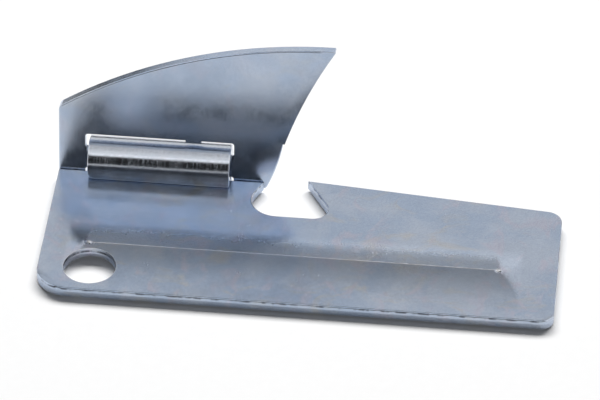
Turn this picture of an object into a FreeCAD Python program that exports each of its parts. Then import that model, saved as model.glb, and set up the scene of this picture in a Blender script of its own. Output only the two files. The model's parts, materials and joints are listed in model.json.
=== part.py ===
import FreeCAD, Part
import math
import os

# Folding hand can opener, two pieces of sheet steel, in millimetres, blade swung up until its
# shoulders stop against the handle, a little past square. While it is drawn, x runs from the
# handle's left end, y is 0 at the handle's rear edge and negative towards its front edge, and z
# is 0 at its underside. The blade is drawn upright and leaned back afterwards. Everything is
# moved to the final origin at the very end: the middle of the bounding box, on the underside.

# Room for the modeller's own rounding when an edge is picked by its place
tolerance = 1e-3

# Sheet and handle plate
sheet = 1.0
plate_length = 50.8
plate_width = 19.05
front_left_radius = 3.2
front_right_radius = 1.4
rear_right_radius = 1.6
rear_taper = 2.45
edge_rollover = 0.16

# Notch that grips the can's rim, with its undercut hook
notch_mouth_left = 20.7
notch_mouth_right = 25.1
hook_overhang = 0.75
notch_depth = 5.3
notch_foot_left = 18.35
notch_foot_right = 28.6
notch_left_radius = 2.65
notch_right_radius = 1.5

# Key-ring hole
hole_x = 5.13
hole_y = -15.45
hole_radius = 2.6

# Pressed stiffening rib along the handle: a crest with hollow slopes that run out into the plate
rib_y = -12.0
rib_start = 4.6
rib_end = 45.0
rib_height = 0.36
rib_front_width = 6.2
rib_rear_width = 3.8
rib_end_run = 2.3
rib_crest_radius = 0.4

# Hinge barrel, rolled from a tab on the handle's rear edge
blade_gap = 0.23
blade_lean = 6.0
barrel_outer_radius = 2.2
barrel_inner_radius = barrel_outer_radius - sheet
barrel_start = 3.05
barrel_end = 17.35
tab_end_gap = 0.05
tab_left_corner = 0.6
tab_right_corner = 0.25
tab_rollover = 0.12
axis_y = blade_gap + sheet / 2
axis_z = barrel_outer_radius

# Blade
blade_bottom = 0.09
slot_start = 2.65
slot_end = 17.65
slot_top = 5.12
slot_burr_start = 12.75
slot_burr_end = 14.35
slot_burr_drop = 0.3
slot_radius = 0.3
bar_half_height = 0.95
top_radius = 49.6
top_centre_x = 27.4
top_centre_z = -33.27
edge_radius = 50.53
edge_centre_x = 70.97
edge_centre_z = -9.6
edge_end_z = 5.42
tip_land = 0.12
heel_radius = 19.28
heel_centre_x = 3.51
heel_centre_z = 8.41
top_left_radius = 0.8
shoulder_radius = 0.35
blade_rollover = 0.14

# Bevels along the cutting edge: ground deep into the back, coined shallow into the front
bevel_width = 1.2
back_bevel_depth = 0.72
front_bevel_depth = 0.1
back_bevel_tip_margin = 1.4


def vector(x, y, z):
    return FreeCAD.Vector(x, y, z)


def rounded_wire(corners):
    """Closed wire of straight sides; each corner is a point and the radius that rounds it."""
    points = [point for point, radius in corners]
    joins = []
    for index, (corner, radius) in enumerate(corners):
        to_last = (points[index - 1] - corner).normalize()
        to_next = (points[(index + 1) % len(points)] - corner).normalize()
        half_angle = to_last.getAngle(to_next) / 2
        reach = radius / math.tan(half_angle)
        middle = (to_last + to_next).normalize() * (radius / math.sin(half_angle) - radius)
        joins.append((corner + to_last * reach, corner + middle, corner + to_next * reach))
    edges = []
    for index, (start, middle, end) in enumerate(joins):
        if start.distanceToPoint(end) > tolerance:
            edges.append(Part.Arc(start, middle, end).toShape())
        next_start = joins[(index + 1) % len(joins)][0]
        edges.append(Part.LineSegment(end, next_start).toShape())
    return Part.Wire(edges)


def prism(wire, direction):
    return Part.Face(wire).extrude(direction)


def edges_where(solid, test):
    return [edge for edge in solid.Edges if test(edge)]


def plate_blank():
    """Flat outline of the handle with the can-rim notch, its upper edges rolled over."""
    rear_right_y = hook_overhang - rear_taper
    corners = [
        (vector(0, 0, 0), 0),
        (vector(0, -plate_width, 0), front_left_radius),
        (vector(plate_length, -plate_width, 0), front_right_radius),
        (vector(plate_length, rear_right_y, 0), rear_right_radius),
        (vector(notch_mouth_right, hook_overhang, 0), 0),
        (vector(notch_foot_right, -notch_depth, 0), notch_right_radius),
        (vector(notch_foot_left, -notch_depth, 0), notch_left_radius),
        (vector(notch_mouth_left, 0, 0), 0),
    ]
    blank = prism(rounded_wire(corners), vector(0, 0, sheet))
    upper = edges_where(blank, lambda edge: edge.BoundBox.ZMin > sheet - tolerance)
    return blank.makeFillet(edge_rollover, upper)


def slope_profile(base_z, height, width):
    """Half section of a ridge in the XZ plane, its crest on the Z axis: a small crest arc runs
    straight into a wide hollow arc, which meets base_z level at the given width."""
    half_chord = math.atan(height / width)
    foot_radius = height / (1 - math.cos(2 * half_chord)) - rib_crest_radius
    slope = 2 * half_chord

    def on_crest(angle):
        return vector(rib_crest_radius * math.sin(angle), 0,
                      base_z + height - rib_crest_radius * (1 - math.cos(angle)))

    def on_foot(angle):
        return vector(width - foot_radius * math.sin(angle), 0,
                      base_z + foot_radius * (1 - math.cos(angle)))

    floor_z = base_z - sheet / 2
    edges = [
        Part.Arc(on_crest(0), on_crest(slope / 2), on_crest(slope)).toShape(),
        Part.Arc(on_foot(slope), on_foot(slope / 2), on_foot(0)).toShape(),
        Part.LineSegment(on_foot(0), vector(width, 0, floor_z)).toShape(),
        Part.LineSegment(vector(width, 0, floor_z), vector(0, 0, floor_z)).toShape(),
        Part.LineSegment(vector(0, 0, floor_z), on_crest(0)).toShape(),
    ]
    return Part.Face(Part.Wire(edges))


def ridge(base_z, width, turn):
    """One side of the rib, as long as the rib and its two run-outs."""
    side = slope_profile(base_z, rib_height, width)
    side.rotate(vector(0, 0, 0), vector(0, 0, 1), turn)
    side.translate(vector(rib_start - rib_end_run, rib_y, 0))
    return side.extrude(vector(rib_end - rib_start + 2 * rib_end_run, 0, 0))


def run_outs(base_z):
    """Block with a sloping end at each end of the rib; it trims the ridge's ends."""
    low_z = base_z - sheet / 2
    high_z = base_z + rib_height + sheet
    run = rib_end_run / rib_height
    low_reach = rib_end_run + (base_z - low_z) * run
    high_reach = rib_end_run - (high_z - base_z) * run
    front = rib_y - rib_front_width
    corners = [
        vector(rib_start - low_reach, front, low_z),
        vector(rib_end + low_reach, front, low_z),
        vector(rib_end + high_reach, front, high_z),
        vector(rib_start - high_reach, front, high_z),
    ]
    outline = Part.makePolygon(corners + corners[:1])
    return prism(outline, vector(0, rib_front_width + rib_rear_width, 0))


def rib_form(base_z):
    """The rib's outer form, which its hollow underside repeats one sheet lower."""
    sides = ridge(base_z, rib_front_width, -90).fuse(ridge(base_z, rib_rear_width, 90))
    return sides.common(run_outs(base_z))


def rolled_tab():
    """Tab that runs rearward off the plate, up, over and down again to the plate's top face."""
    def on_roll(radius, degrees):
        angle = math.radians(degrees)
        return vector(barrel_start, axis_y + radius * math.cos(angle),
                      axis_z + radius * math.sin(angle))

    def arc(radius, start, middle, end):
        return Part.Arc(on_roll(radius, start), on_roll(radius, middle),
                        on_roll(radius, end)).toShape()

    def line(start, end):
        return Part.LineSegment(start, end).toShape()

    root_low = vector(barrel_start, -sheet, 0)
    root_high = vector(barrel_start, -sheet, sheet)
    end_z = sheet + tab_end_gap
    end_outer = vector(barrel_start, axis_y - barrel_outer_radius, end_z)
    end_inner = vector(barrel_start, axis_y - barrel_inner_radius, end_z)
    edges = [
        line(root_low, on_roll(barrel_outer_radius, -90)),
        arc(barrel_outer_radius, -90, 45, 180),
        line(on_roll(barrel_outer_radius, 180), end_outer),
        line(end_outer, end_inner),
        line(end_inner, on_roll(barrel_inner_radius, 180)),
        arc(barrel_inner_radius, 180, 45, -90),
        line(on_roll(barrel_inner_radius, -90), root_high),
        line(root_high, root_low),
    ]
    tab = prism(Part.Wire(edges), vector(barrel_end - barrel_start, 0, 0))
    for x, radius in ((barrel_start, tab_left_corner), (barrel_end, tab_right_corner)):
        corner = edges_where(tab, lambda edge: is_tab_corner(edge, x, end_z))
        tab = tab.makeFillet(radius, corner)
    return tab.makeFillet(tab_rollover, edges_where(tab, is_outer_tab_rim))


def is_tab_corner(edge, x, z):
    low = vector(edge.BoundBox.XMin, 0, edge.BoundBox.ZMin)
    high = vector(edge.BoundBox.XMax, 0, edge.BoundBox.ZMax)
    corner = vector(x, 0, z)
    return max(low.distanceToPoint(corner), high.distanceToPoint(corner)) < tolerance


def is_outer_tab_rim(edge):
    """True for the rim of the barrel's outer skin at its two ends and along its free end."""
    bounds = edge.BoundBox
    around = isinstance(edge.Curve, Part.Circle) and bounds.XLength < tolerance
    if around and abs(edge.Curve.Radius - barrel_outer_radius) < tolerance:
        return True
    on_front = bounds.YMax < axis_y - barrel_outer_radius + tolerance
    return on_front and bounds.ZMin < axis_z - tolerance


def handle_plate():
    plate = plate_blank().fuse(rib_form(sheet)).cut(rib_form(0))
    drill_length = 4 * sheet
    hole = Part.makeCylinder(hole_radius, drill_length, vector(hole_x, hole_y, -sheet))
    return plate.cut(hole).fuse(rolled_tab()).removeSplitter()


def tip_point():
    """Upper crossing of the arched top with the hollow cutting edge."""
    span_x = edge_centre_x - top_centre_x
    span_z = edge_centre_z - top_centre_z
    span = math.hypot(span_x, span_z)
    along = (top_radius ** 2 - edge_radius ** 2 + span ** 2) / (2 * span)
    across = math.sqrt(top_radius ** 2 - along ** 2)
    x = top_centre_x + (along * span_x - across * span_z) / span
    z = top_centre_z + (along * span_z + across * span_x) / span
    return vector(x, blade_gap, z)


def blade_outline():
    """Blade outline in the XZ plane: straight left side, arched top, hollow cutting edge."""
    def on_top(x):
        rise = math.sqrt(top_radius ** 2 - (x - top_centre_x) ** 2)
        return vector(x, blade_gap, top_centre_z + rise)

    def on_cutting_edge(z):
        reach = math.sqrt(edge_radius ** 2 - (z - edge_centre_z) ** 2)
        return vector(edge_centre_x - reach, blade_gap, z)

    def on_heel(z):
        reach = math.sqrt(heel_radius ** 2 - (z - heel_centre_z) ** 2)
        return vector(heel_centre_x + reach, blade_gap, z)

    tip = tip_point()
    tip_top = on_top(tip.x - tip_land)
    tip_low = on_cutting_edge(tip.z - tip_land)
    jog = on_cutting_edge(edge_end_z)
    bottom_left = vector(0, blade_gap, blade_bottom)
    heel_middle_z = (blade_bottom + edge_end_z) / 2
    edges = [
        Part.LineSegment(bottom_left, on_top(0)).toShape(),
        Part.Arc(on_top(0), on_top(tip.x / 2), tip_top).toShape(),
        Part.LineSegment(tip_top, tip_low).toShape(),
        Part.Arc(tip_low, on_cutting_edge((tip.z + edge_end_z) / 2), jog).toShape(),
        Part.LineSegment(jog, on_heel(edge_end_z)).toShape(),
        Part.Arc(on_heel(edge_end_z), on_heel(heel_middle_z), on_heel(blade_bottom)).toShape(),
        Part.LineSegment(on_heel(blade_bottom), bottom_left).toShape(),
    ]
    return Part.Wire(edges)


def hinge_opening(low_z, high_z):
    """Rounded rectangular window as long as the slot, right through the blade."""
    front = blade_gap - sheet
    depth = 3 * sheet
    corners = [
        (vector(slot_start, front, low_z), slot_radius),
        (vector(slot_end, front, low_z), slot_radius),
        (vector(slot_end, front, high_z), slot_radius),
        (vector(slot_start, front, high_z), slot_radius),
    ]
    return prism(rounded_wire(corners), vector(0, depth, 0))


def slot_burr():
    """Small lug that the punch left on the slot's upper edge."""
    low = vector(slot_burr_start, blade_gap, slot_top - slot_burr_drop)
    return Part.makeBox(slot_burr_end - slot_burr_start, sheet, 2 * slot_burr_drop, low)


def angle_on_edge(z):
    """Angle about the cutting edge's centre, in degrees, of its point at a height."""
    return math.degrees(math.asin((z - edge_centre_z) / edge_radius))


def bevel_cutter(face_y, depth, start, end):
    """Ring segment whose cone takes a bevel off the cutting edge from the face at face_y."""
    beyond = sheet
    outward = math.copysign(1, face_y - axis_y)
    slope = outward * depth / bevel_width
    outer = vector(edge_centre_x - edge_radius - bevel_width, face_y, edge_centre_z)
    inner = vector(edge_centre_x - edge_radius + beyond, face_y, edge_centre_z)
    deep = vector(inner.x, face_y - slope * (bevel_width + beyond), edge_centre_z)
    clear = vector(0, outward * beyond, 0)
    section = Part.Face(Part.makePolygon([outer, outer + clear, inner + clear, deep, outer]))
    centre = vector(edge_centre_x, 0, edge_centre_z)
    turn_axis = vector(0, 1, 0)
    section.rotate(centre, turn_axis, start)
    return section.revolve(centre, turn_axis, end - start)


def blade():
    leaf = prism(blade_outline(), vector(0, sheet, 0))
    high_corner = edges_where(leaf, is_high_left_edge)
    low_corners = edges_where(leaf, is_low_edge)
    leaf = leaf.makeFillet(top_left_radius, high_corner).makeFillet(shoulder_radius, low_corners)
    leaf = leaf.makeFillet(blade_rollover, edges_where(leaf, is_dull_front_edge))
    leaf = leaf.cut(hinge_opening(axis_z + bar_half_height, slot_top))
    leaf = leaf.cut(hinge_opening(-sheet, axis_z - bar_half_height)).fuse(slot_burr())
    start = angle_on_edge(edge_end_z)
    past_tip = angle_on_edge(tip_point().z + 2 * sheet)
    leaf = leaf.cut(bevel_cutter(blade_gap, front_bevel_depth, start, past_tip))
    back_end = angle_on_edge(tip_point().z - back_bevel_tip_margin)
    leaf = leaf.cut(bevel_cutter(blade_gap + sheet, back_bevel_depth, start, back_end))
    leaf.rotate(vector(0, axis_y, axis_z), vector(1, 0, 0), -blade_lean)
    return leaf


def spans_sheet(edge):
    """True for the short edges that run straight through the blade's thickness."""
    bounds = edge.BoundBox
    return bounds.YLength > sheet / 2 and max(bounds.XLength, bounds.ZLength) < tolerance


def is_high_left_edge(edge):
    return spans_sheet(edge) and edge.BoundBox.XMax < tolerance and edge.BoundBox.ZMin > sheet


def is_low_edge(edge):
    return spans_sheet(edge) and edge.BoundBox.ZMax < blade_bottom + tolerance


def is_dull_front_edge(edge):
    """True for the front face's edges, except the cutting edge, the tip's land and the jog."""
    on_front = edge.BoundBox.YMax < blade_gap + tolerance
    middle = edge.valueAt((edge.FirstParameter + edge.LastParameter) / 2)
    from_centre = math.hypot(middle.x - edge_centre_x, middle.z - edge_centre_z)
    return on_front and from_centre > edge_radius + sheet / 4


def main():
    os.makedirs("parts", exist_ok=True)
    barrel_back = axis_y + barrel_outer_radius
    to_origin = vector(-plate_length / 2, (plate_width - barrel_back) / 2, 0)
    nodes = {"handle_plate": handle_plate(), "blade": blade()}
    for name, shape in nodes.items():
        shape.translate(to_origin)
        print(name, shape.isValid(), len(shape.Solids), round(shape.Volume, 3))
        print(shape.optimalBoundingBox())
        shape.exportStep("parts/" + name + ".step")
    hinge = vector(0, axis_y, axis_z) + to_origin
    print("hinge axis passes through y", round(hinge.y, 3), "z", round(hinge.z, 3))


main()
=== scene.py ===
import json
import math

import bmesh
import bpy
from mathutils import Matrix, Vector

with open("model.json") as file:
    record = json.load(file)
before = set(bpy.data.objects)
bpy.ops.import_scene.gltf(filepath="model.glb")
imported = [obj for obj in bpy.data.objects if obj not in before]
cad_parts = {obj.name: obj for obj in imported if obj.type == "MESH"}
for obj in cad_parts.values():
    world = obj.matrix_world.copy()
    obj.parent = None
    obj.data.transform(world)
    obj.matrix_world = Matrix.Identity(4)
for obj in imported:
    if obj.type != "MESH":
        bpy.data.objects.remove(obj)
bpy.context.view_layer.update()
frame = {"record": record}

# Millimetres are the unit of the small features below, and the scene is in metres.
MM = 0.001

# Camera: where it stands, the point that it looks at on the floor, its roll, its lens and
# sensor in millimetres, and the nearest and farthest that it sees, in metres.
CAMERA_PLACE = Vector((31.92, -371.015, 292.319)) * MM
CAMERA_AIM = Vector((-0.92, 6.84, 0.0)) * MM
CAMERA_ROLL = math.radians(0.89)
CAMERA_LENS = 287.0
CAMERA_SENSOR = 36.0
CAMERA_NEAR = 0.01
CAMERA_FAR = 10.0

# The floor: half its side in metres, and how far it lies under the plate, so that a dark line
# of shadow shows along the plate's front edge.
FLOOR_SIZE = 1.5
FLOOR_DROP = 0.22 * MM

# The floor's two near-white tones, and its faint glow, which fills the shadow.
FLOOR_SHADE = (0.875, 0.875, 0.875, 1.0)
FLOOR_LIGHT = (0.885, 0.885, 0.885, 1.0)
FLOOR_GLOW = 0.05

# The room round the lights: a faint cool grey.
ROOM_COLOUR = (0.93, 0.96, 1.0, 1.0)
ROOM_STRENGTH = 0.015

# All the soft lights stand this far from the part.
LIGHT_DISTANCE = 2.0

# Shading is smooth across edges that turn by less than this angle, on a mesh whose points
# are joined where they lie closer than this distance.
SMOOTH_ANGLE = math.radians(24.0)
WELD_DISTANCE = 0.0005 * MM

# The rolled barrel: its axis, which is the record's hinge, and its outer radius.
HINGE = frame["record"]["behaviour"]["joints"][0]
HINGE_Y = HINGE["pos_m"][1]
HINGE_Z = HINGE["pos_m"][2]
BARREL_RADIUS = 2.2 * MM

# The thickness of the sheet, and the rib pressed in it: the line and the ends of its crest, how
# far the speckle reaches behind it, how softly its marks fade, and the height of the punch marks
# at its two ends, which carry a painted glint as well as a dent.
SHEET = 1.0 * MM
RIB_Y = -3.94 * MM
RIB_X_LOW = -20.8 * MM
RIB_X_HIGH = 19.6 * MM
SPECKLE_REACH = 3.6 * MM
RIB_FADE = 0.5 * MM
PUNCH_Z = 1.3 * SHEET


# Colours of the zinc: blue-white, faint clouds of passivation, and rubbed metal; and painted
# light: near-white highlights for the barrel's rims and the rib's crest and ends, and a dark
# reflection along the sheared rims.
BLUE = (0.46, 0.55, 0.69, 1.0)
PALE = (0.54, 0.61, 0.72, 1.0)
STRAW = (0.62, 0.60, 0.56, 1.0)
PINK = (0.60, 0.585, 0.68, 1.0)
WORN = (0.80, 0.82, 0.84, 1.0)
DULL = (0.92, 0.92, 0.94, 1.0)
WHITE = (1.0, 1.0, 1.0, 1.0)
BARREL_SKIN = (0.62, 0.65, 0.70, 1.0)
# A near-white painted highlight along the rims of the rolled barrel.
BARREL_RIM_HIGHLIGHT = (0.95, 0.96, 0.97, 1.0)
# A pale painted highlight along the rib's crest line, and painted glints at its two ends.
RIB_HIGHLIGHT = (0.90, 0.91, 0.93, 1.0)
# A dark painted reflection, in short dashes, along the upper rim of the sheared faces.
RIM_REFLECTION_DARK = (0.10, 0.11, 0.14, 1.0)

# How strongly the clouds stain each piece, from nought to one.
HANDLE_STAIN = 0.6
BLADE_STAIN = 0.25

# The lowest roughness of each piece, how far it varies, and what worn and torn places add.
HANDLE_ROUGHNESS = 0.20
BLADE_ROUGHNESS = 0.19
PATCH_ROUGHNESS = 0.06
FLANK_ROUGHNESS = 0.12
TORN_ROUGHNESS = 0.18
BARREL_POLISH = 0.05

# Heights of the surface marks.
GRAIN_HEIGHT = 0.0004 * MM
HANDLE_STREAK_HEIGHT = 0.0009 * MM
BLADE_STREAK_HEIGHT = 0.0003 * MM
HANDLE_WAVE_HEIGHT = 0.009 * MM
BLADE_WAVE_HEIGHT = 0.0015 * MM
SPECKLE_HEIGHT = 0.04 * MM
PUNCH_DEPTH = 0.09 * MM
GALLING_HEIGHT = 0.011 * MM
TEAR_HEIGHT = 0.05 * MM

# Widths of the worn rims along the edges of each piece; on the handle's barrel these rims also
# carry a painted highlight.
HANDLE_RIM = 0.16 * MM
BLADE_RIM = 0.12 * MM


class Nodes:
    """A small helper that adds nodes to one material and links them."""

    def __init__(self, material):
        material.use_nodes = True
        self.tree = material.node_tree
        self.tree.nodes.clear()

    def add(self, kind, inputs=None, **settings):
        node = self.tree.nodes.new("ShaderNode" + kind)
        for name, value in settings.items():
            setattr(node, name, value)
        for name, value in (inputs or {}).items():
            self.put(node.inputs[name], value)
        return node

    def put(self, socket, value):
        if isinstance(value, bpy.types.NodeSocket):
            self.tree.links.new(value, socket)
        else:
            socket.default_value = value

    def math(self, operation, first, second=0.0, third=0.0, clamp=False):
        node = self.add("Math", operation=operation, use_clamp=clamp)
        for socket, value in zip(node.inputs, (first, second, third)):
            self.put(socket, value)
        return node.outputs[0]

    def ramp(self, value, low, high, out_low=0.0, out_high=1.0):
        """Smooth step of value from low to high."""
        node = self.add("MapRange", interpolation_type="SMOOTHSTEP")
        for socket, number in zip(node.inputs, (value, low, high, out_low, out_high)):
            self.put(socket, number)
        return node.outputs[0]

    def product(self, *values):
        result = values[0]
        for value in values[1:]:
            result = self.math("MULTIPLY", result, value)
        return result

    def noise(self, place, scale, detail=3.0, roughness=0.55, distortion=0.0):
        node = self.add("TexNoise", {"Vector": place, "Scale": scale, "Detail": detail,
                                     "Roughness": roughness, "Distortion": distortion})
        return node.outputs[0]

    def stretched(self, place, scale):
        """The place with each axis scaled, for streaks along one of them."""
        node = self.add("VectorMath", {0: place, 1: scale}, operation="MULTIPLY")
        return node.outputs[0]

    def mix_colour(self, factor, first, second, blend="MIX"):
        node = self.add("Mix", data_type="RGBA", blend_type=blend)
        self.put(node.inputs["Factor"], factor)
        self.put(node.inputs["A"], first)
        self.put(node.inputs["B"], second)
        return node.outputs["Result"]


def split(nodes, vector):
    """The x, y and z of a vector."""
    node = nodes.add("SeparateXYZ", {0: vector})
    return node.outputs[0], node.outputs[1], node.outputs[2]


def edge_mask(nodes, width):
    """One near the sharp edges of the sheet and nought on its open faces."""
    rounded = nodes.add("Bevel", {"Radius": width}, samples=6)
    true_normal = nodes.add("NewGeometry").outputs["Normal"]
    dot = nodes.add("VectorMath", {0: rounded.outputs[0], 1: true_normal}, operation="DOT_PRODUCT")
    return nodes.ramp(dot.outputs["Value"], low=0.995, high=0.9)


def zinc_colour(nodes, place, edge, stain):
    """Blue-white zinc with faint yellow and pink clouds of passivation."""
    clouds = nodes.noise(place, scale=150.0, detail=4.0, distortion=0.6)
    colour = nodes.mix_colour(nodes.ramp(clouds, low=0.38, high=0.64), BLUE, PALE)
    yellow = nodes.noise(nodes.stretched(place, (1.0, 1.3, 1.7)), scale=230.0, detail=5.0,
                         distortion=1.2)
    yellow = nodes.ramp(yellow, low=0.52, high=0.74, out_high=0.9 * stain)
    colour = nodes.mix_colour(yellow, colour, STRAW)
    rosy = nodes.noise(nodes.stretched(place, (1.4, 1.0, 0.8)), scale=310.0, detail=4.0,
                       distortion=0.8)
    rosy = nodes.ramp(rosy, low=0.52, high=0.70, out_high=stain)
    colour = nodes.mix_colour(rosy, colour, PINK)
    specks = nodes.ramp(nodes.noise(place, scale=5200.0, detail=2.0), low=0.30, high=0.72)
    colour = nodes.mix_colour(1.0, colour, nodes.mix_colour(specks, DULL, WHITE),
                              blend="MULTIPLY")
    return nodes.mix_colour(nodes.product(edge, 0.6), colour, WORN)


def zinc_roughness(nodes, place, streaks, base):
    """Roughness from the base up: slow patches, and a little more along the streaks."""
    patches = nodes.noise(place, scale=420.0, detail=5.0)
    patches = nodes.ramp(patches, low=0.3, high=0.7, out_low=base,
                         out_high=base + PATCH_ROUGHNESS)
    fine = nodes.ramp(streaks, low=0.35, high=0.75, out_low=-0.01, out_high=0.02)
    return nodes.math("ADD", patches, fine, clamp=True)


def zinc_height(nodes, place, streaks, streak_height, wave_height):
    """Height in metres: plating grain, drawn streaks and a slow pressing wave."""
    grain = nodes.product(nodes.noise(place, scale=9000.0), GRAIN_HEIGHT)
    lines = nodes.product(streaks, streak_height)
    wave = nodes.product(nodes.noise(place, scale=260.0, detail=2.0), wave_height)
    return nodes.math("ADD", nodes.math("ADD", grain, lines), wave)


def finish_zinc(nodes, colour, roughness, height):
    """The metal shader, with its surface marks as a bump in metres."""
    bump = nodes.add("Bump", {"Height": height, "Strength": 1.0, "Distance": 1.0})
    shader = nodes.add("BsdfPrincipled", {"Base Color": colour, "Metallic": 1.0,
                                          "Roughness": roughness, "Normal": bump.outputs[0]})
    nodes.add("OutputMaterial", {"Surface": shader.outputs[0]})


def cut_face_mask(nodes, z):
    """The sheared side faces of the flat sheet, which face sideways."""
    normal = nodes.add("NewGeometry").outputs["True Normal"]
    upright = nodes.math("ABSOLUTE", split(nodes, normal)[2])
    sideways = nodes.ramp(upright, low=0.35, high=0.15)
    low = nodes.ramp(z, low=1.05 * SHEET, high=0.95 * SHEET)
    return nodes.product(sideways, low)


def barrel_mask(nodes, y, z):
    """The rolled barrel's skin, by its distance from the hinge line."""
    across = nodes.math("SUBTRACT", y, HINGE_Y)
    above = nodes.math("SUBTRACT", z, HINGE_Z)
    distance = nodes.math("SQRT", nodes.math("ADD", nodes.product(across, across),
                                             nodes.product(above, above)))
    near = nodes.ramp(distance, low=BARREL_RADIUS + 0.15 * MM, high=BARREL_RADIUS + 0.02 * MM)
    high = nodes.ramp(z, low=1.1 * SHEET, high=1.5 * SHEET)
    return nodes.product(near, high)


def rib_flank_mask(nodes, x, y):
    """The rear flank of the rib, where the press tool left its texture."""
    behind = nodes.math("SUBTRACT", y, RIB_Y)
    rise = nodes.ramp(behind, low=0.0, high=0.12 * MM)
    fall = nodes.ramp(behind, low=SPECKLE_REACH, high=0.3 * MM)
    start = nodes.ramp(x, low=RIB_X_LOW - RIB_FADE, high=RIB_X_LOW + RIB_FADE)
    end = nodes.ramp(x, low=RIB_X_HIGH + RIB_FADE, high=RIB_X_HIGH - RIB_FADE)
    return nodes.product(rise, fall, start, end)


def crest_highlight(nodes, x, y):
    """A painted highlight along the crest line of the rib."""
    off = nodes.math("ABSOLUTE", nodes.math("SUBTRACT", y, RIB_Y))
    line = nodes.ramp(off, low=0.16 * MM, high=0.05 * MM)
    start = nodes.ramp(x, low=RIB_X_LOW, high=RIB_X_LOW + RIB_FADE)
    end = nodes.ramp(x, low=RIB_X_HIGH, high=RIB_X_HIGH - RIB_FADE)
    return nodes.product(line, start, end)


def punch_mark_and_glint(nodes, place, x):
    """A small mark at one end of the rib: a dent of the press tool, with a painted glint on it."""
    mark = (x, RIB_Y, PUNCH_Z)
    offset = nodes.add("VectorMath", {0: place, 1: mark}, operation="DISTANCE")
    return nodes.ramp(offset.outputs["Value"], low=0.42 * MM, high=0.10 * MM)


def rim_dark_reflection(nodes, place, z):
    """A painted dark reflection, in short dashes, along the upper rim of the sheared side faces.
    """
    normal = nodes.add("NewGeometry").outputs["True Normal"]
    upright = nodes.math("ABSOLUTE", split(nodes, normal)[2])
    sideways = nodes.ramp(upright, low=0.85, high=0.5)
    rim = nodes.product(nodes.ramp(z, low=0.72 * SHEET, high=0.80 * SHEET),
                        nodes.ramp(z, low=1.02 * SHEET, high=0.97 * SHEET))
    dash_pattern = nodes.noise(nodes.stretched(place, (1.0, 1.0, 0.2)), scale=900.0, detail=4.0,
                        roughness=0.7)
    dash_pattern = nodes.ramp(dash_pattern, low=0.46, high=0.58)
    return nodes.product(sideways, rim, dash_pattern)


def handle_colour(nodes, place, edge, barrel, marks_and_glints):
    """Stained zinc, a rubbed barrel with a painted highlight on its rims, a painted highlight on
    the rib's crest and ends, and a painted dark reflection in dashes along the rim.
    """
    x, y, z = split(nodes, place)
    colour = zinc_colour(nodes, place, edge, HANDLE_STAIN)
    colour = nodes.mix_colour(nodes.product(barrel, 0.75), colour, BARREL_SKIN)
    # Painted highlight: the barrel's rims turn near-white.
    colour = nodes.mix_colour(nodes.product(barrel, edge, 0.9), colour, BARREL_RIM_HIGHLIGHT)
    # Painted highlight on the rib's crest line, and painted glints at the rib's ends.
    crest_glint = nodes.product(crest_highlight(nodes, x, y), 0.4)
    glints = nodes.math("MAXIMUM", crest_glint, marks_and_glints)
    colour = nodes.mix_colour(glints, colour, RIB_HIGHLIGHT)
    # Painted dark reflection in short dashes along the sheared rims.
    dark_rim = nodes.product(rim_dark_reflection(nodes, place, z), 0.8)
    return nodes.mix_colour(dark_rim, colour, RIM_REFLECTION_DARK)


def handle_roughness(nodes, place, streaks, flank, barrel, torn):
    """Duller on the rib's flank and where the sheet tore, and brighter on the barrel."""
    roughness = zinc_roughness(nodes, place, streaks, HANDLE_ROUGHNESS)
    roughness = nodes.math("ADD", roughness, nodes.product(flank, FLANK_ROUGHNESS))
    roughness = nodes.math("SUBTRACT", roughness, nodes.product(barrel, BARREL_POLISH))
    return nodes.math("ADD", roughness, nodes.product(torn, TORN_ROUGHNESS), clamp=True)


def handle_height(nodes, place, streaks, flank, marks_and_glints, barrel, torn):
    """Zinc, speckle on the rib's flank, punch marks, rings on the barrel and torn metal."""
    height = zinc_height(nodes, place, streaks, HANDLE_STREAK_HEIGHT, HANDLE_WAVE_HEIGHT)
    pits = nodes.noise(place, scale=3400.0, roughness=0.7)
    pits = nodes.ramp(pits, low=0.35, high=0.65)
    height = nodes.math("ADD", height, nodes.product(flank, pits, SPECKLE_HEIGHT))
    height = nodes.math("SUBTRACT", height, nodes.product(marks_and_glints, PUNCH_DEPTH))
    rings = nodes.noise(nodes.stretched(place, (1.0, 0.05, 0.05)), scale=5200.0, detail=4.0,
                        roughness=0.75)
    rings = nodes.ramp(rings, low=0.45, high=0.68)
    height = nodes.math("ADD", height, nodes.product(barrel, rings, GALLING_HEIGHT))
    tear = nodes.noise(nodes.stretched(place, (1.0, 1.0, 0.25)), scale=6500.0, detail=4.0,
                       roughness=0.7)
    return nodes.math("ADD", height, nodes.product(torn, tear, TEAR_HEIGHT))


def handle_zinc():
    """Zinc on the handle: open plate, speckled rib flank, rubbed barrel and sheared edge."""
    material = bpy.data.materials.new("zinc_on_handle")
    nodes = Nodes(material)
    place = nodes.add("TexCoord").outputs["Object"]
    x, y, z = split(nodes, place)
    edge = edge_mask(nodes, HANDLE_RIM)
    barrel = barrel_mask(nodes, y, z)
    flank = rib_flank_mask(nodes, x, y)
    # The marks at the rib's ends are dents in the height and painted glints in the colour.
    marks_and_glints = nodes.math("MAXIMUM", punch_mark_and_glint(nodes, place, RIB_X_LOW),
                       punch_mark_and_glint(nodes, place, RIB_X_HIGH))
    torn = nodes.product(cut_face_mask(nodes, z),
                         nodes.ramp(z, low=0.75 * SHEET, high=0.55 * SHEET))
    streaks = nodes.noise(nodes.stretched(place, (1.0, 0.25, 1.0)), scale=6000.0, detail=4.0,
                          roughness=0.65)
    colour = handle_colour(nodes, place, edge, barrel, marks_and_glints)
    roughness = handle_roughness(nodes, place, streaks, flank, barrel, torn)
    height = handle_height(nodes, place, streaks, flank, marks_and_glints, barrel, torn)
    finish_zinc(nodes, colour, roughness, height)
    return material


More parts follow.
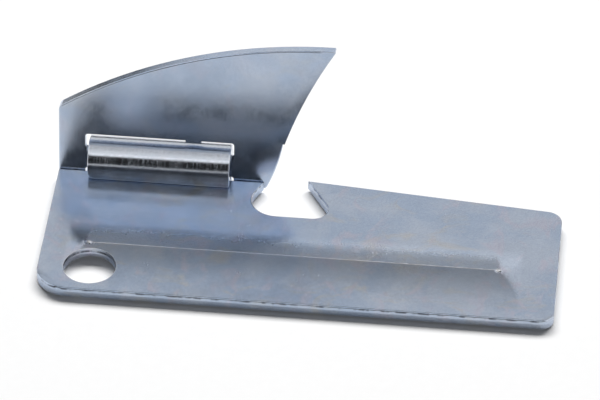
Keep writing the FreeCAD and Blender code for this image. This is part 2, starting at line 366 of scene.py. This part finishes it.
def blade_zinc():
    """Zinc on the blade: rolling streaks that run up the sheet, and brighter cut edges."""
    material = bpy.data.materials.new("zinc_on_blade")
    nodes = Nodes(material)
    place = nodes.add("TexCoord").outputs["Object"]
    edge = edge_mask(nodes, BLADE_RIM)
    streaks = nodes.noise(nodes.stretched(place, (1.0, 1.0, 0.3)), scale=5200.0, detail=4.0,
                          roughness=0.6)
    colour = zinc_colour(nodes, place, edge, BLADE_STAIN)
    roughness = zinc_roughness(nodes, place, streaks, BLADE_ROUGHNESS)
    height = zinc_height(nodes, place, streaks, BLADE_STREAK_HEIGHT, BLADE_WAVE_HEIGHT)
    finish_zinc(nodes, colour, roughness, height)
    return material


def smooth_by_angle_group():
    """Geometry nodes that shade the mesh smooth and keep its real edges sharp."""
    group = bpy.data.node_groups.new("smooth_by_angle", "GeometryNodeTree")
    group.interface.new_socket("Geometry", in_out="INPUT", socket_type="NodeSocketGeometry")
    group.interface.new_socket("Geometry", in_out="OUTPUT", socket_type="NodeSocketGeometry")
    start = group.nodes.new("NodeGroupInput")
    end = group.nodes.new("NodeGroupOutput")
    faces = group.nodes.new("GeometryNodeSetShadeSmooth")
    faces.domain = "FACE"
    faces.inputs["Shade Smooth"].default_value = True
    edges = group.nodes.new("GeometryNodeSetShadeSmooth")
    edges.domain = "EDGE"
    edges.inputs["Shade Smooth"].default_value = False
    angle = group.nodes.new("GeometryNodeInputMeshEdgeAngle")
    compare = group.nodes.new("ShaderNodeMath")
    compare.operation = "GREATER_THAN"
    compare.inputs[1].default_value = SMOOTH_ANGLE
    group.links.new(angle.outputs["Unsigned Angle"], compare.inputs[0])
    group.links.new(compare.outputs[0], edges.inputs["Selection"])
    group.links.new(start.outputs[0], faces.inputs["Geometry"])
    group.links.new(faces.outputs[0], edges.inputs["Geometry"])
    group.links.new(edges.outputs[0], end.inputs[0])
    return group


def smooth(piece, group):
    """Joined points, real edges kept sharp, and normals weighted by the faces' areas."""
    weld = piece.modifiers.new("weld", "WELD")
    weld.merge_threshold = WELD_DISTANCE
    by_angle = piece.modifiers.new("smooth_by_angle", "NODES")
    by_angle.node_group = group
    weighted = piece.modifiers.new("weighted_normal", "WEIGHTED_NORMAL")
    weighted.weight = 100
    weighted.keep_sharp = True


def dress(name, material, group):
    """Give a node of the part its material and its smooth shading."""
    piece = bpy.data.objects[name]
    piece.data.materials.clear()
    piece.data.materials.append(material)
    smooth(piece, group)
    return piece


def pale_floor():
    """A wide pale floor, on which the part stands."""
    mesh = bpy.data.meshes.new("floor")
    maker = bmesh.new()
    bmesh.ops.create_grid(maker, x_segments=8, y_segments=8, size=FLOOR_SIZE)
    maker.to_mesh(mesh)
    maker.free()
    floor = bpy.data.objects.new("floor", mesh)
    floor.location.z = -FLOOR_DROP
    bpy.context.scene.collection.objects.link(floor)
    material = bpy.data.materials.new("pale_floor")
    nodes = Nodes(material)
    place = nodes.add("TexCoord").outputs["Object"]
    tone = nodes.ramp(nodes.noise(place, scale=900.0), low=0.3, high=0.7)
    colour = nodes.mix_colour(tone, FLOOR_SHADE, FLOOR_LIGHT)
    shader = nodes.add("BsdfPrincipled", {"Base Color": colour, "Roughness": 0.65,
                                          "Emission Color": WHITE,
                                          "Emission Strength": FLOOR_GLOW})
    nodes.add("OutputMaterial", {"Surface": shader.outputs[0]})
    mesh.materials.append(material)
    return floor


def soft_box(name, lit, compass, height, width, tall, brightness):
    """A soft light on the lit pieces, seen from the part at a compass angle (0 behind, 90 to
    the right) and a height above the floor, as wide and tall as the given angles, all in
    degrees."""
    turn = math.radians(compass)
    lift = math.radians(height)
    away = Vector((math.sin(turn) * math.cos(lift), math.cos(turn) * math.cos(lift),
                   math.sin(lift)))
    light = bpy.data.lights.new(name, "AREA")
    light.shape = "RECTANGLE"
    light.size = 2.0 * LIGHT_DISTANCE * math.tan(math.radians(width / 2.0))
    light.size_y = 2.0 * LIGHT_DISTANCE * math.tan(math.radians(tall / 2.0))
    light.energy = brightness * math.pi * light.size * light.size_y
    lamp = bpy.data.objects.new(name, light)
    lamp.location = away * LIGHT_DISTANCE
    lamp.rotation_euler = (-away).to_track_quat("-Z", "Y").to_euler()
    lamp.light_linking.receiver_collection = lit
    bpy.context.scene.collection.objects.link(lamp)
    return lamp


def light_group(name, pieces):
    """The pieces that a set of lights shines on, or that shade a light."""
    group = bpy.data.collections.new(name)
    for piece in pieces:
        group.objects.link(piece)
    return group


def studio(part, ground, handle):
    """A light tent round the part: bright walls behind and beside, lights above and to the
    front, and a dark camera side lower down. The floor has a light of its own, from behind
    and above, which only the handle shades."""
    soft_box("wall_behind_low", part, compass=0.0, height=22.5, width=84.0, tall=16.0,
             brightness=0.86)
    soft_box("wall_behind_middle", part, compass=0.0, height=37.5, width=72.0, tall=16.0,
             brightness=0.72)
    soft_box("wall_behind_high", part, compass=0.0, height=52.5, width=55.0, tall=15.0,
             brightness=0.25)
    soft_box("wall_left_low", part, compass=-90.0, height=15.0, width=86.0, tall=30.0,
             brightness=0.95)
    soft_box("wall_left_high", part, compass=-90.0, height=50.0, width=58.0, tall=40.0,
             brightness=1.05)
    soft_box("wall_right_low", part, compass=90.0, height=15.0, width=86.0, tall=30.0,
             brightness=0.90)
    soft_box("wall_right_high", part, compass=90.0, height=50.0, width=58.0, tall=40.0,
             brightness=1.15)
    soft_box("top_front", part, compass=180.0, height=68.5, width=36.0, tall=15.0,
             brightness=0.85)
    soft_box("top_front_low", part, compass=180.0, height=53.0, width=50.0, tall=14.0,
             brightness=1.45)
    soft_box("top", part, compass=0.0, height=89.9, width=30.0, tall=30.0,
             brightness=0.60)
    above = soft_box("floor_light", ground, compass=0.0, height=50.0, width=60.0, tall=24.0,
                     brightness=10.4)
    above.light_linking.blocker_collection = light_group("floor_shadow", [handle])
    world = bpy.data.worlds.new("room")
    world.use_nodes = True
    background = world.node_tree.nodes["Background"]
    background.inputs["Color"].default_value = ROOM_COLOUR
    background.inputs["Strength"].default_value = ROOM_STRENGTH
    bpy.context.scene.world = world


def camera():
    """The camera, which stands far off with a long lens."""
    data = bpy.data.cameras.new("camera")
    data.lens = CAMERA_LENS
    data.sensor_width = CAMERA_SENSOR
    data.sensor_fit = "HORIZONTAL"
    data.clip_start = CAMERA_NEAR
    data.clip_end = CAMERA_FAR
    eye = bpy.data.objects.new("camera", data)
    turn = (CAMERA_AIM - CAMERA_PLACE).to_track_quat("-Z", "Y").to_matrix().to_4x4()
    roll = Matrix.Rotation(CAMERA_ROLL, 4, "Z")
    eye.matrix_world = Matrix.Translation(CAMERA_PLACE) @ turn @ roll
    bpy.context.scene.collection.objects.link(eye)
    bpy.context.scene.camera = eye


bpy.context.scene.view_settings.view_transform = "Standard"
camera()
shade_smooth = smooth_by_angle_group()
handle = dress("handle_plate", handle_zinc(), shade_smooth)
blade = dress("blade", blade_zinc(), shade_smooth)
lit_part = light_group("part_lit", [handle, blade])
lit_floor = light_group("floor_lit", [pale_floor()])
studio(lit_part, lit_floor, handle)
